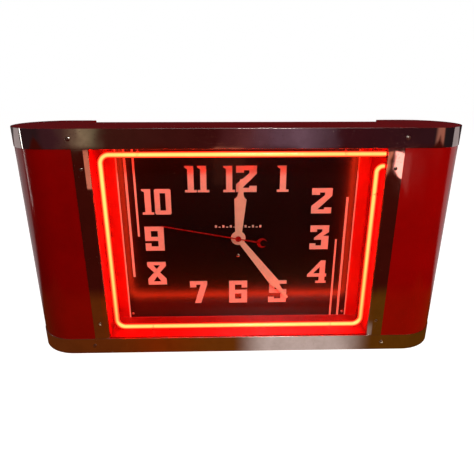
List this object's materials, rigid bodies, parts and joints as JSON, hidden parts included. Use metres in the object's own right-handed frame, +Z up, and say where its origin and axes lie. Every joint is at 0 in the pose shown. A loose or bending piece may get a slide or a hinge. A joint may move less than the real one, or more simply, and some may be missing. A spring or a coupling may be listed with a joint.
{
  "type": "service station advertising clock",
  "caption": "Wide red enamelled wall clock with bright bands, half-round ends, a recessed black dial and one loop of lit neon tube around it.",
  "frame": {"origin": "middle of the base, at the centre of the bounding box's bottom", "axes": "+X to the right seen from the front, +Y towards the wall, +Z up"},
  "size_m": [0.8128, 0.1576, 0.438],
  "materials": {
    "center_case": "glossy red enamel",
    "left_end_shell": "glossy red enamel",
    "right_end_shell": "glossy red enamel",
    "back_panel": "red enamel",
    "top_band": "polished, finely scratched",
    "bottom_band": "polished, finely scratched",
    "left_pilaster": "polished",
    "right_pilaster": "polished",
    "band_screws": "nickel plated",
    "pilaster_screws": "nickel plated",
    "back_panel_screws": "zinc plated",
    "shell_screws": "zinc plated",
    "glass_gasket": "matt",
    "front_glass": "clear float glass",
    "shadow_box": "satin red enamel",
    "recess_screws": "zinc plated",
    "dial_plate": "semi-gloss black",
    "dial_numerals": "screen-printed cream",
    "dial_bars": "screen-printed cream",
    "dial_ornament": "screen-printed cream",
    "dial_screws": "nickel plated",
    "movement_screws": "nickel plated",
    "neon_tube": "lit neon tube",
    "electrode_shells": "iron shell",
    "electrode_boots": "matt",
    "hv_lead_upper": "rubber covered lead",
    "hv_lead_lower": "rubber covered lead",
    "tube_supports": "pressed glass",
    "tube_ties": "soft wire",
    "wall_bushings": "matt",
    "transformer_case": "black japan",
    "transformer_core": "varnished laminations",
    "transformer_coils": "varnished wire",
    "transformer_bushings": "glazed porcelain",
    "transformer_bolts": "zinc plated",
    "terminal_block": "glazed",
    "terminal_screws": "bright",
    "cord_gland": "matt",
    "motor_leads": "waxed cotton covered",
    "transformer_leads": "waxed cotton covered",
    "movement_front_plate": "brushed",
    "movement_back_plate": "brushed",
    "movement_pillars": "turned",
    "motor_can": "drawn can",
    "stator_laminations": "varnished laminations",
    "stator_coil": "taped",
    "rotor_pinion": "cut steel",
    "second_arbor": "cut steel",
    "third_wheel": "cut brass",
    "centre_wheel": "cut brass",
    "clutch_spring": "spring steel",
    "minute_tube": "turned",
    "minute_wheel": "cut brass",
    "hour_wheel": "cut brass",
    "set_shaft": "turned steel",
    "set_knob": "moulded dark resin",
    "hour_hand": "cream enamel",
    "minute_hand": "cream enamel",
    "hand_nut": "turned",
    "second_hand": "red enamel"
  },
  "bodies": {
    "cabinet": {"center_case": "center_case", "left_end_shell": "left_end_shell", "right_end_shell": "right_end_shell", "back_panel": "back_panel", "top_band": "top_band", "bottom_band": "bottom_band", "left_pilaster": "left_pilaster", "right_pilaster": "right_pilaster", "band_screws": "band_screws", "pilaster_screws": "pilaster_screws", "back_panel_screws": "back_panel_screws", "shell_screws": "shell_screws", "glass_gasket": "glass_gasket", "front_glass": "front_glass", "shadow_box": "shadow_box", "recess_screws": "recess_screws", "dial_plate": "dial_plate", "dial_numerals": "dial_numerals", "dial_bars": "dial_bars", "dial_ornament": "dial_ornament", "dial_screws": "dial_screws", "movement_screws": "movement_screws", "neon_tube": "neon_tube", "electrode_shells": "electrode_shells", "electrode_boots": "electrode_boots", "hv_lead_upper": "hv_lead_upper", "hv_lead_lower": "hv_lead_lower", "tube_supports": "tube_supports", "tube_ties": "tube_ties", "wall_bushings": "wall_bushings", "transformer_case": "transformer_case", "transformer_core": "transformer_core", "transformer_coils": "transformer_coils", "transformer_bushings": "transformer_bushings", "transformer_bolts": "transformer_bolts", "terminal_block": "terminal_block", "terminal_screws": "terminal_screws", "cord_gland": "cord_gland", "motor_leads": "motor_leads", "transformer_leads": "transformer_leads", "movement_front_plate": "movement_front_plate", "movement_back_plate": "movement_back_plate", "movement_pillars": "movement_pillars", "motor_can": "motor_can", "stator_laminations": "stator_laminations", "stator_coil": "stator_coil"},
    "hour": {"hour_hand": "hour_hand", "hour_wheel": "hour_wheel"},
    "minute": {"minute_hand": "minute_hand", "hand_nut": "hand_nut", "minute_tube": "minute_tube", "clutch_spring": "clutch_spring"},
    "minute_wheel_body": {"minute_wheel": "minute_wheel"},
    "setting": {"set_shaft": "set_shaft", "set_knob": "set_knob"},
    "second": {"second_hand": "second_hand", "second_arbor": "second_arbor"},
    "rotor": {"rotor_pinion": "rotor_pinion"},
    "third": {"third_wheel": "third_wheel"},
    "centre": {"centre_wheel": "centre_wheel"}
  },
  "joints": [
    {"name": "minute_hand_turn", "type": "hinge", "parent": "cabinet", "child": "minute", "pos_m": [0, -0.007, 0.2155], "axis": [0, 1, 0], "continuous": true},
    {"name": "hour_hand_turn", "type": "hinge", "parent": "cabinet", "child": "hour", "pos_m": [0, -0.004, 0.2155], "axis": [0, 1, 0], "continuous": true},
    {"name": "minute_wheel_turn", "type": "hinge", "parent": "cabinet", "child": "minute_wheel_body", "pos_m": [0.0075, 0.0072, 0.20251], "axis": [0, 1, 0], "continuous": true},
    {"name": "set_knob_turn", "type": "hinge", "parent": "cabinet", "child": "setting", "pos_m": [0.0101, 0.04, 0.18774], "axis": [0, 1, 0], "continuous": true},
    {"name": "second_hand_turn", "type": "hinge", "parent": "cabinet", "child": "second", "pos_m": [0, -0.01, 0.2155], "axis": [0, 1, 0], "continuous": true},
    {"name": "rotor_turn", "type": "hinge", "parent": "cabinet", "child": "rotor", "pos_m": [0.01035, 0.0205, 0.22783], "axis": [0, 1, 0], "continuous": true},
    {"name": "third_wheel_turn", "type": "hinge", "parent": "cabinet", "child": "third", "pos_m": [-0.017, 0.0165, 0.2155], "axis": [0, 1, 0], "continuous": true},
    {"name": "centre_wheel_turn", "type": "hinge", "parent": "cabinet", "child": "centre", "pos_m": [0, 0.0135, 0.2155], "axis": [0, 1, 0], "continuous": true}
  ],
  "couplings": [
    {"joint": "hour_hand_turn", "follows": "minute_hand_turn", "ratio": 0.083333},
    {"joint": "minute_wheel_turn", "follows": "minute_hand_turn", "ratio": -0.33333},
    {"joint": "set_knob_turn", "follows": "minute_hand_turn", "ratio": 1},
    {"joint": "rotor_turn", "follows": "second_hand_turn", "ratio": -3.6},
    {"joint": "third_wheel_turn", "follows": "second_hand_turn", "ratio": -0.13333},
    {"joint": "centre_wheel_turn", "follows": "second_hand_turn", "ratio": 0.016667}
  ]
}
